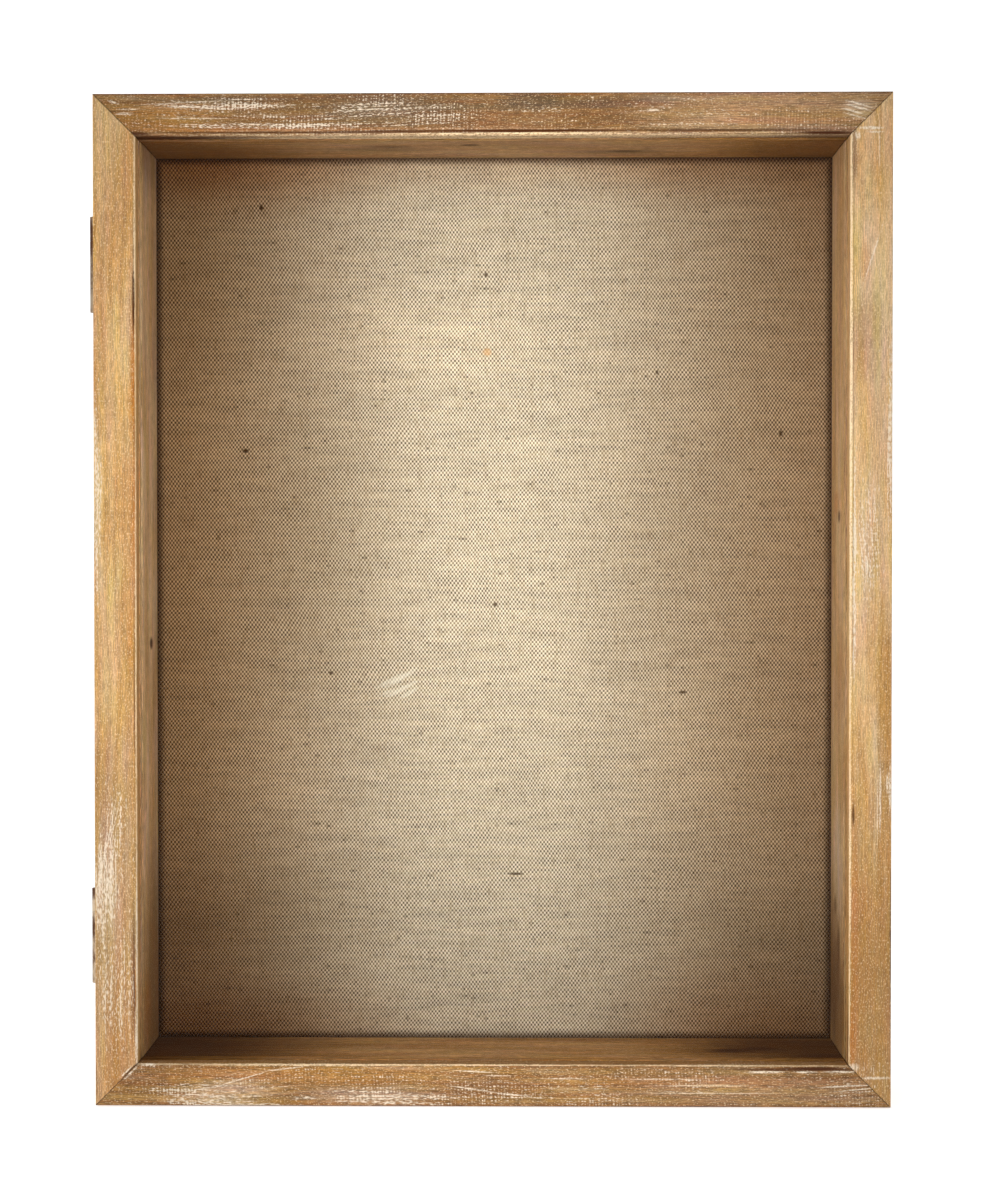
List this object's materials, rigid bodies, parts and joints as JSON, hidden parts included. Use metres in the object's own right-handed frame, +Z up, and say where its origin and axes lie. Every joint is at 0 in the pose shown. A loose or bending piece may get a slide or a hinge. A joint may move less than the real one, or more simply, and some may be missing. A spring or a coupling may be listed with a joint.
{
  "type": "display case",
  "caption": "Upright wooden display case with a side-hinged glazed door and a linen-covered pin board for lures and other small collectables.",
  "frame": {"origin": "centre of the underside of the wooden case, without the door", "axes": "+Z up, -Y out of the front towards the viewer, +X to the viewer's right; the door's hinges are on the -X side"},
  "size_m": [0.2827, 0.0591, 0.3556],
  "materials": {
    "door_wood": "weathered honey pine with pale wash, matt",
    "case_wood": "stained brown pine, matt",
    "linen": "natural plain weave linen",
    "fibre_board": "soft fibre pin board",
    "hardboard": "brown hardboard, smooth",
    "clear_pane": "clear picture glass",
    "antique_brass": "antiqued, rubbed bright on the barrels",
    "plated_steel": "zinc plated",
    "magnet_nickel": "nickel plated",
    "bumper_felt": "soft stick-on pad"
  },
  "bodies": {
    "case": {"case_side_left": "case_wood", "case_side_right": "case_wood", "case_top": "case_wood", "case_bottom": "case_wood", "case_corner_brads": "plated_steel", "pin_board": "fibre_board", "linen_cover": "linen", "back_panel": "hardboard", "back_points": "plated_steel", "case_magnets": "magnet_nickel", "upper_hinge_case_leaf": "antique_brass", "lower_hinge_case_leaf": "antique_brass", "upper_hinge_pin": "antique_brass", "lower_hinge_pin": "antique_brass", "hinge_screws_case": "antique_brass", "sawtooth_hanger_top": "plated_steel", "sawtooth_hanger_side": "plated_steel", "wall_bumpers": "bumper_felt"},
    "door": {"door_stile_left": "door_wood", "door_stile_right": "door_wood", "door_rail_top": "door_wood", "door_rail_bottom": "door_wood", "door_corner_nails": "plated_steel", "glazing_pane": "clear_pane", "glazing_bead_left": "door_wood", "glazing_bead_right": "door_wood", "glazing_bead_top": "door_wood", "glazing_bead_bottom": "door_wood", "door_strikes": "plated_steel", "upper_hinge_door_leaf": "antique_brass", "lower_hinge_door_leaf": "antique_brass", "hinge_screws_door": "antique_brass"}
  },
  "joints": [
    {"name": "door_swing", "type": "hinge", "parent": "case", "child": "door", "pos_m": [-0.1412, -0.02215, 0.1778], "axis": [0, 0, -1], "range_deg": [0, 180]}
  ]
}
